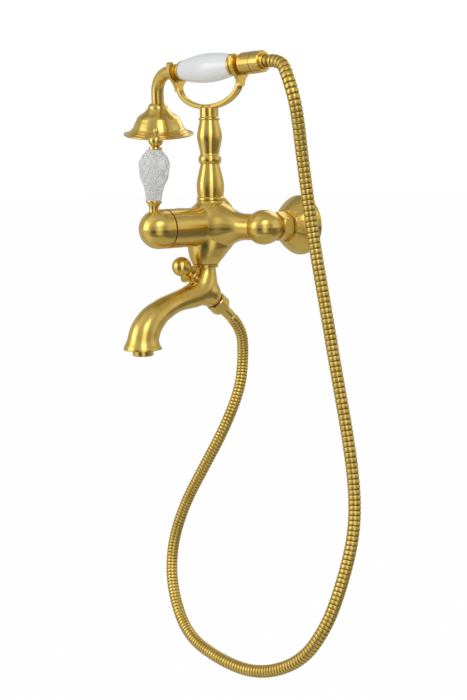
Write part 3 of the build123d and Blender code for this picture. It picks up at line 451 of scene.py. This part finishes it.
class MIXER_OT_inner_parts(bpy.types.Operator):
    """Finish the porcelain grip, the seals, the cartridge and the other inner pieces"""

    bl_idname = "mixer.inner_parts"
    bl_label = "Porcelain, seals and inner parts"

    def execute(self, context):
        dress(porcelain(), "porcelain_grip")
        dress(
            black_rubber(), "union_washer_left", "union_washer_right", "cartridge_seals",
            "spout_seal", "aerator_washer", "diverter_seals", "diverter_valve",
            "hose_washers_lower", "hose_washer_upper", "spray_seal", "handset_seam_ring",
        )
        dress(
            white_plastic(), "cartridge_body", "cartridge_rotor", "disc_carrier", "aerator_insert"
        )
        dress(lapped_ceramic(), "ceramic_disc_fixed", "ceramic_disc_moving")
        dress(
            worked_metal(
                "plain_steel", 1800.0, (0.62, 0.62, 0.61, 1), (0.50, 0.50, 0.49, 1), 0.25, 0.15
            ),
            "inlet_strainer_left", "inlet_strainer_right", "pivot_pin", "grub_screw",
            "column_stud", "diverter_stem", "spray_plate",
        )
        dress(
            worked_metal(
                "polished_steel", 1500.0, (0.88, 0.88, 0.88, 1), (0.80, 0.80, 0.80, 1), 0.12, 0.1,
                detail=2.0,
            ),
            "lever_rod",
        )
        dress(machined_brass(), "spindle", "retaining_ring", "wall_union_left", "wall_union_right")
        return {"FINISHED"}


# Crystal lever
def select_where(mesh, kind, test):
    """In edit mode, selects the faces or the edges that pass a test."""
    bpy.ops.mesh.select_mode(type=kind)
    bpy.ops.mesh.select_all(action="DESELECT")
    cut = bmesh.from_edit_mesh(mesh)
    for element in cut.faces if kind == "FACE" else cut.edges:
        if test(element):
            element.select_set(True)
    cut.select_flush_mode()
    bmesh.update_edit_mesh(mesh)


def middle(edge):
    return (edge.verts[0].co + edge.verts[1].co) / 2


def is_flat(edge):
    return abs(edge.verts[0].co.z - edge.verts[1].co.z) < 1e-5


def clear_crystal():
    """Polished glass."""
    material, nodes = new_material("clear_crystal")
    polish = nodes.noise(object_place(nodes), 420.0, 2.0)
    nodes.shader(
        Base_Color=nodes.mix(polish, (0.985, 0.99, 0.98, 1), (0.955, 0.965, 0.955, 1)),
        Roughness=0.06 + polish * 0.04, IOR=1.22, Transmission_Weight=0.62,
        Normal=nodes.bump(polish, 0.05, 0.0003),
    )
    return material


def frosted_cut():
    """The ground glass of the cuts between the diamonds."""
    material, nodes = new_material("frosted_cut")
    stone = nodes.noise(object_place(nodes), 1800.0, 3.0)
    nodes.shader(
        Base_Color=nodes.mix(stone, (0.93, 0.945, 0.94, 1), (0.66, 0.68, 0.67, 1)),
        Roughness=0.3 + stone * 0.2, IOR=1.45, Transmission_Weight=0.2,
    )
    return material


class MIXER_OT_crystal(bpy.types.Operator):
    """Cut the crystal lever: flutes at its foot, then rows of diamonds up to its neck"""

    bl_idname = "mixer.crystal"
    bl_label = "Crystal lever"

    def execute(self, context):
        sizes = context.scene.mixer_crystal
        bore = 0.0030

        # Height and radius of each ring of corners, from the foot up
        rows = (
            (0.0326, 0.0092), (0.0420, 0.0101), (0.0500, 0.0127), (0.0585, 0.0163),
            (0.0675, 0.0184), (0.0765, 0.0185), (0.0848, 0.0152), (0.0905, 0.0096),
            (0.0916, 0.0077),
        )
        base, top = rows[0][0], rows[-1][0]
        bpy.ops.object.select_all(action="DESELECT")
        bpy.ops.mesh.primitive_circle_add(
            vertices=sizes.cuts, radius=rows[0][1], location=(0, 0, 0), fill_type="NOTHING"
        )
        crystal = context.object
        crystal.name = crystal.data.name = "cut_crystal"
        bpy.ops.object.mode_set(mode="EDIT")
        bpy.ops.mesh.select_all(action="SELECT")
        bpy.ops.transform.translate(value=(0, 0, base))
        half_turn = math.pi / sizes.cuts
        for (low, inner), (high, outer) in zip(rows, rows[1:]):
            bpy.ops.mesh.extrude_region_move(TRANSFORM_OT_translate={"value": (0, 0, high - low)})
            if low > base and high < top:
                bpy.ops.transform.rotate(
                    value=half_turn, orient_axis="Z", center_override=(0, 0, high)
                )
            scale = outer / inner
            bpy.ops.transform.resize(value=(scale, scale, 1), center_override=(0, 0, high))

        # Diamonds, between the second ring and the last but one
        mesh = crystal.data
        low_row, high_row = rows[1][0], rows[-2][0]
        select_where(mesh, "FACE", lambda face: low_row < face.calc_center_median().z < high_row)
        bpy.ops.mesh.quads_convert_to_tris(quad_method="SHORTEST_DIAGONAL")
        select_where(
            mesh, "EDGE",
            lambda edge: is_flat(edge) and low_row + 1e-4 < middle(edge).z < high_row - 1e-4,
        )
        bpy.ops.mesh.dissolve_edges(use_verts=False, use_face_split=False)

        # Cuts round each face below the neck
        select_where(mesh, "FACE", lambda face: face.calc_center_median().z < high_row)
        bpy.ops.mesh.inset(
            thickness=sizes.groove, depth=sizes.depth, use_individual=True, use_even_offset=True
        )
        bpy.ops.mesh.face_make_planar(factor=1.0, repeat=12)
        shaped = bmesh.from_edit_mesh(mesh)
        for face in shaped.faces:
            if not face.select and base < face.calc_center_median().z < high_row:
                face.material_index = 1
        bmesh.update_edit_mesh(mesh)

        # The bore for the tie rod
        for z, radius in (rows[0], rows[-1]):
            select_where(
                mesh, "EDGE", lambda edge, z=z: edge.is_boundary and abs(middle(edge).z - z) < 1e-5
            )
            bpy.ops.mesh.extrude_region_move(TRANSFORM_OT_translate={"value": (0, 0, 0)})
            ratio = bore / radius
            bpy.ops.transform.resize(value=(ratio, ratio, 1), center_override=(0, 0, z))
        select_where(mesh, "EDGE", lambda edge: edge.is_boundary)
        bpy.ops.mesh.bridge_edge_loops()
        bpy.ops.mesh.select_all(action="SELECT")
        bpy.ops.mesh.remove_doubles(threshold=1e-6)
        bpy.ops.mesh.normals_make_consistent(inside=False)
        bpy.ops.object.mode_set(mode="OBJECT")

        # Rounded edges, then its lean on the lever cup
        edge_round = crystal.modifiers.new("polish", "BEVEL")
        edge_round.width = 0.00012
        edge_round.segments = 1
        edge_round.angle_limit = math.radians(18)
        bpy.ops.object.modifier_apply(modifier=edge_round.name)
        crystal.rotation_euler = (-LEVER_LEAN, 0, half_turn * 0.5)
        crystal.location = LEVER_FOOT
        bpy.ops.object.transform_apply(location=True, rotation=True, scale=True)

        mesh.materials.append(clear_crystal())
        mesh.materials.append(frosted_cut())
        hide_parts("lever_crystal")
        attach(crystal, "handle")
        return {"FINISHED"}


# Hose
def smooth_line(context, route):
    """The points along a NURBS line through a route's control points."""
    curve = bpy.data.curves.new("hose_line", "CURVE")
    curve.dimensions = "3D"
    curve.resolution_u = 40
    spline = curve.splines.new("NURBS")
    spline.points.add(len(route) - 1)
    for point, place in zip(spline.points, route):
        point.co = (*place, 1.0)
    spline.order_u = 3
    spline.use_endpoint_u = True
    line = bpy.data.objects.new("hose_line", curve)
    context.scene.collection.objects.link(line)
    context.view_layer.update()
    mesh = bpy.data.meshes.new_from_object(line)
    points = [vertex.co.copy() for vertex in mesh.vertices]
    bpy.data.objects.remove(line)
    bpy.data.meshes.remove(mesh)
    bpy.data.curves.remove(curve)
    return points


def distances(points):
    """How far along the line each of its points lies."""
    far = [0.0]
    for before, after in zip(points, points[1:]):
        far.append(far[-1] + (after - before).length)
    return far


def ramp(value, low, high):
    """How far a value has come from low to high, kept between 0 and 1."""
    return min(max((value - low) / (high - low), 0.0), 1.0)


def rib_rings(sizes, length):
    """The hose's rings: how far along it, how deep in its groove, and how many ribs on."""
    plain = 0.010
    rib_shape = ((0.0, 1.0), (0.1, 0.3), (0.24, 0.05), (0.5, 0.0), (0.76, 0.05), (0.9, 0.3))
    rings = [(0.0, 0.5, 0.5), (plain * 0.5, 0.5, 0.5)]
    here, ribs = plain, 0
    while here < length - plain:
        share = ramp(here / length, 0.36, 0.52)
        pitch = sizes.stretched + (sizes.closed - sizes.stretched) * share
        shallow = 1 - 0.5 * share * (1 - ramp(here / length, 0.78, 0.9))
        for step, depth in rib_shape:
            rings.append((here + step * pitch, depth * shallow, ribs + step))
        here += pitch
        ribs += 1
    rings = [ring for ring in rings if ring[0] < length - plain * 0.5]
    rings += [(length - plain * 0.5, 0.5, ribs + 0.5), (length, 0.5, ribs + 0.5)]
    return rings


def ring_tube(sizes, points, rings):
    """A closed tube through the rings, whose UV map runs along the ribs and round them."""
    far = distances(points)
    work = bmesh.new()
    rib_map = work.loops.layers.uv.new("ribs")
    side = Vector((0, 1, 0))
    at, loops = 0, []
    for distance, depth, _ in rings:
        while at < len(far) - 2 and far[at + 1] < distance:
            at += 1
        step = (distance - far[at]) / max(far[at + 1] - far[at], 1e-9)
        centre = points[at].lerp(points[at + 1], min(step, 1.0))
        way = (points[min(at + 2, len(points) - 1)] - points[max(at - 1, 0)]).normalized()
        side = (side - way * side.dot(way)).normalized()
        up = way.cross(side)
        radius = sizes.radius - sizes.groove * depth
        ring = []
        for corner in range(sizes.sides):
            turn = math.tau * corner / sizes.sides
            outward = side * math.cos(turn) + up * math.sin(turn)
            ring.append(work.verts.new(centre + outward * radius))
        loops.append(ring)
    for row, (first, second) in enumerate(zip(loops, loops[1:])):
        low, high = rings[row][2], rings[row + 1][2]
        for corner in range(sizes.sides):
            after = (corner + 1) % sizes.sides
            face = work.faces.new((first[corner], first[after], second[after], second[corner]))
            face.smooth = True
            left, right = corner / sizes.sides, (corner + 1) / sizes.sides
            places = ((low, left), (low, right), (high, right), (high, left))
            for loop, place in zip(face.loops, places):
                loop[rib_map].uv = place
    work.faces.new(list(reversed(loops[0])))
    work.faces.new(loops[-1])
    bmesh.ops.recalc_face_normals(work, faces=work.faces)
    mesh = bpy.data.meshes.new("ribbed_hose")
    work.to_mesh(mesh)
    work.free()
    return mesh


def hose_brass(look):
    """The satin brass, with painted shade: a darker line painted in each groove, where shade falls
    between the ribs.
    """
    material, nodes = new_material("hose_brass")
    ribs_at = nodes.add("ShaderNodeUVMap", {"uv_map": "ribs"})
    along = nodes.add("ShaderNodeSeparateXYZ", {}, {0: ribs_at})
    # Mask of painted shade: 1 on each rib's crest, falling to 0 in the groove between ribs
    painted_groove_shade_mask = (along.maths("FRACT") - 0.5).maths("ABSOLUTE").smooth(0.5, 0.3)
    place = object_place(nodes)
    grain = nodes.noise(place, 1400.0, 3.0)
    cloud = nodes.noise(place, 60.0, 2.0)
    metal = nodes.mix(cloud.smooth(0.35, 0.75) * 0.5, rgba(look.colour), rgba(look.shade))
    nodes.shader(
        # Painted shade: each groove is painted dark brown, standing in for the shade between the
        # ribs
        Base_Color=nodes.mix(painted_groove_shade_mask, (0.13, 0.075, 0.01, 1), metal),
        Metallic=1.0, Roughness=0.30 + grain * 0.12, Normal=nodes.bump(grain, 0.12, 0.00008),
    )
    return material


class MIXER_OT_hose(bpy.types.Operator):
    """Lay the ribbed hose from the handset round to the spout"""

    bl_idname = "mixer.hose"
    bl_label = "Ribbed hose"

    def execute(self, context):
        sizes = context.scene.mixer_hose
        points = smooth_line(context, HOSE_ROUTE)
        mesh = ring_tube(sizes, points, rib_rings(sizes, distances(points)[-1]))
        mesh.materials.append(hose_brass(context.scene.mixer_brass))
        hose = bpy.data.objects.new("ribbed_hose", mesh)
        context.scene.collection.objects.link(hose)
        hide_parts("shower_hose")
        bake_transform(hose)
        return {"FINISHED"}


# Stage
def toward(azimuth, elevation):
    """A direction by its azimuth from the camera, to the camera's left where it is negative."""
    turn = CAMERA_TURN + math.radians(azimuth)
    tilt = math.radians(elevation)
    level = Vector((math.sin(turn), -math.cos(turn), 0))
    return level * math.cos(tilt) + Vector((0, 0, math.sin(tilt)))


def sine(angle):
    return math.sin(math.radians(angle))


def board(nodes, view, azimuth, wide, low, high, soft=9.0):
    """A soft-edged studio board between two elevations, wide degrees to each side of an azimuth."""

    def along(way):
        return nodes.add(
            "ShaderNodeVectorMath", {"operation": "DOT_PRODUCT"}, {0: view, 1: way}, out=1
        )

    ahead = along(toward(azimuth, 0)).smooth(0.0, 0.2)
    beside = along(toward(azimuth + 90, 0)).maths("ABSOLUTE")
    across = beside.smooth(sine(wide + soft), sine(wide))
    height = along(Vector((0, 0, 1)))
    upper = height.smooth(sine(high + soft), sine(high))
    lower = height.smooth(sine(low - soft), sine(low))
    return ahead * across * upper * lower


def pale_floor(look):
    """Pale paint that the camera sees almost without its shadows."""
    material, nodes = new_material("pale_floor")
    paint = nodes.add("ShaderNodeBsdfDiffuse", {}, {"Color": rgba(look.floor), "Roughness": 0.4})
    glow = nodes.add("ShaderNodeEmission", {}, {"Color": (1, 1, 1, 1), "Strength": 1.0})
    share = nodes.add("ShaderNodeLightPath", out=0) * 0.97
    whole = nodes.add("ShaderNodeMixShader", {}, {0: share, 1: paint, 2: glow})
    nodes.add("ShaderNodeOutputMaterial", {}, {"Surface": whole})
    return material


def studio(level):
    """White to the camera, even light to matt surfaces, and boards to mirror in the metal."""
    world = bpy.data.worlds.new("studio")
    nodes = Nodes(world)
    view = nodes.add("ShaderNodeTexCoord", out=0)
    rays = nodes.add("ShaderNodeLightPath", out=0)
    glossy = Value(nodes, rays.socket.node.outputs["Is Glossy Ray"])
    through = Value(nodes, rays.socket.node.outputs["Is Transmission Ray"])
    backdrop = nodes.add("ShaderNodeBackground", {}, {"Color": (1, 1, 1, 1), "Strength": 1.0})
    room = nodes.add("ShaderNodeBackground", {}, {"Color": (1, 1, 1, 1), "Strength": level})
    shade = (
        0.52
        + board(nodes, view, -72, 15, -45, 60, 12) * 0.26
        + board(nodes, view, 10, 7, -28, 45, 8) * 0.95
        + board(nodes, view, 87, 14, 3, 26) * 0.35
        - board(nodes, view, 30, 66, -36, -10, 9) * 0.34
        - board(nodes, view, -28, 10, -12, 14, 9) * 0.26
        - board(nodes, view, 41, 8, -12, 14, 9) * 0.22
        - board(nodes, view, 180, 60, 42, 75) * 0.2
    )
    mirror = nodes.add(
        "ShaderNodeBackground", {}, {"Color": (1.0, 0.985, 0.95, 1), "Strength": shade}
    )
    straight = rays.maths("MAXIMUM", through)
    seen = nodes.add("ShaderNodeMixShader", {}, {0: straight, 1: room, 2: backdrop})
    whole = nodes.add("ShaderNodeMixShader", {}, {0: glossy, 1: seen, 2: mirror})
    nodes.add("ShaderNodeOutputWorld", {}, {"Surface": whole})
    return world


def square_lamp(name, azimuth, elevation, size, power):
    """A square lamp 1.6 m from the mixer, turned to face it."""
    lamp = bpy.data.lights.new(name, "AREA")
    lamp.shape = "SQUARE"
    lamp.size = size
    lamp.energy = power
    holder = bpy.data.objects.new(name, lamp)
    aim = toward(azimuth, elevation)
    holder.location = Vector((0.05, -0.08, -0.05)) + aim * 1.6
    holder.rotation_euler = aim.to_track_quat("Z", "Y").to_euler()
    return holder


def photo_camera():
    """The camera at the photograph's place, turned and rolled as it was."""
    away = -toward(0, math.degrees(CAMERA_DIP))
    level = Vector((math.cos(CAMERA_TURN), math.sin(CAMERA_TURN), 0))
    upright = level.cross(away)
    right = level * math.cos(CAMERA_ROLL) + upright * math.sin(CAMERA_ROLL)
    up = upright * math.cos(CAMERA_ROLL) - level * math.sin(CAMERA_ROLL)
    camera = bpy.data.cameras.new("camera")
    camera.lens = CAMERA_LENS
    camera.sensor_width = 36.0
    camera.clip_start = 0.01
    holder = bpy.data.objects.new("camera", camera)
    turn = Matrix((right, up, -away)).transposed()
    holder.matrix_world = Matrix.Translation(CAMERA_PLACE) @ turn.to_4x4()
    return holder


class MIXER_OT_stage(bpy.types.Operator):
    """Set up the pale floor, the studio light and the camera"""

    bl_idname = "mixer.stage"
    bl_label = "Stage"

    def execute(self, context):
        look = context.scene.mixer_stage
        scene = context.scene
        bpy.ops.object.select_all(action="DESELECT")
        bpy.ops.mesh.primitive_plane_add(size=60.0, location=(0, 0, -0.75))
        floor = context.object
        floor.name = floor.data.name = "floor"
        floor.data.materials.append(pale_floor(look))
        floor.visible_glossy = False
        scene.world = studio(look.level)
        for lamp in (
            square_lamp("key", 12, 36, size=0.5, power=2.2),
            square_lamp("side", -75, 15, size=0.9, power=4.0),
            square_lamp("back", 150, 35, size=0.9, power=3.0),
        ):
            scene.collection.objects.link(lamp)
        scene.camera = photo_camera()
        scene.collection.objects.link(scene.camera)
        scene.view_settings.view_transform = "Standard"
        return {"FINISHED"}


class MIXER_PT_panel(bpy.types.Panel):
    """The bath mixer's pieces and sizes"""

    bl_label = "Bath mixer"
    bl_idname = "MIXER_PT_panel"
    bl_space_type = "VIEW_3D"
    bl_region_type = "UI"
    bl_category = "Bath mixer"

    def draw(self, context):
        for operator in OPERATORS:
            self.layout.operator(operator.bl_idname)
        for name, group in GROUPS.items():
            for field in group.__annotations__:
                self.layout.prop(getattr(context.scene, name), field)


OPERATORS = (MIXER_OT_stage, MIXER_OT_hose, MIXER_OT_crystal, MIXER_OT_brass, MIXER_OT_inner_parts)
CLASSES = (*GROUPS.values(), *OPERATORS, MIXER_PT_panel)


def register():
    for kind in CLASSES:
        bpy.utils.register_class(kind)
    for name, group in GROUPS.items():
        setattr(bpy.types.Scene, name, PointerProperty(type=group))


def unregister():
    for name in GROUPS:
        delattr(bpy.types.Scene, name)
    for kind in reversed(CLASSES):
        bpy.utils.unregister_class(kind)


def main():
    register()
    bpy.ops.mixer.stage()
    bpy.ops.mixer.hose()
    bpy.ops.mixer.crystal()
    bpy.ops.mixer.brass()
    bpy.ops.mixer.inner_parts()


if __name__ == "__main__":
    main()
